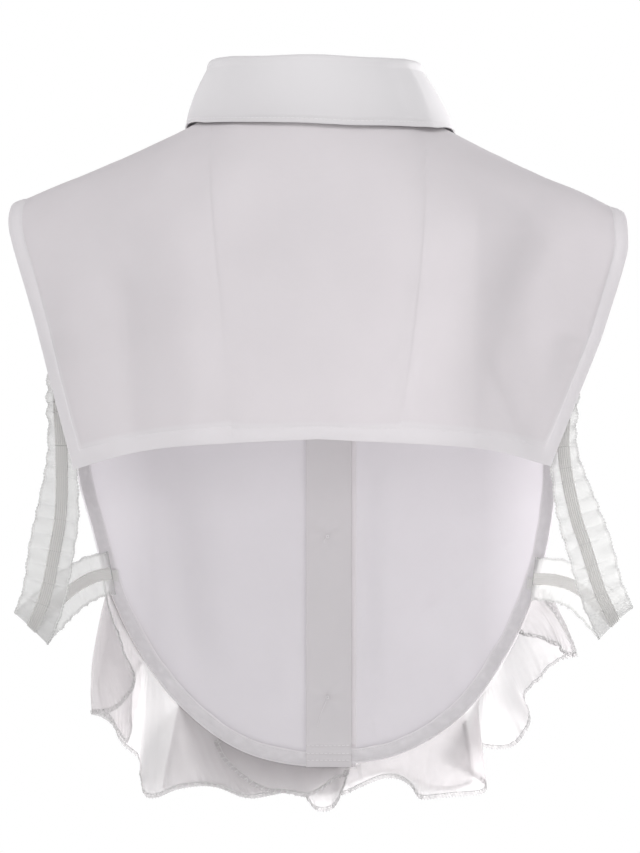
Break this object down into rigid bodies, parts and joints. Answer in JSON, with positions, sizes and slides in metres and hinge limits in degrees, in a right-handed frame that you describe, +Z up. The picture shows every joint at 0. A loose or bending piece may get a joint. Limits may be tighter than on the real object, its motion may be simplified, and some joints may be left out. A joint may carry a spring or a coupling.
{
  "type": "detachable shirt collar",
  "caption": "Shirt collar on a buttoned bib with a short back panel, a sheer flounce round the bib's edge and frilled elastic side straps, in its worn shape.",
  "frame": {"origin": "middle of the neck opening, midway between its highest and lowest places", "axes": "+Z up, -Y the way the bib faces, +X the wearer's left"},
  "size_m": [0.4067, 0.2282, 0.4988],
  "materials": {
    "cotton": "plain white cotton",
    "facing": "plain white cotton facing",
    "sheer": "thin sheer white cloth",
    "elastic": "ribbed white elastic",
    "button": "satin white"
  },
  "bodies": {
    "root": {"back_panel": "cotton", "front_left": "cotton", "front_right": "cotton", "placket_top": "cotton", "placket_under": "facing", "binding_left": "facing", "binding_right": "facing", "collar_stand": "cotton", "collar_fall": "cotton", "ruffle_left": "sheer", "ruffle_right": "sheer", "ruffle_lap": "sheer", "strap_band_left": "sheer", "strap_band_right": "sheer", "elastic_left": "elastic", "elastic_right": "elastic", "button_0": "button", "button_1": "button", "button_2": "button", "button_3": "button"}
  },
  "joints": []
}
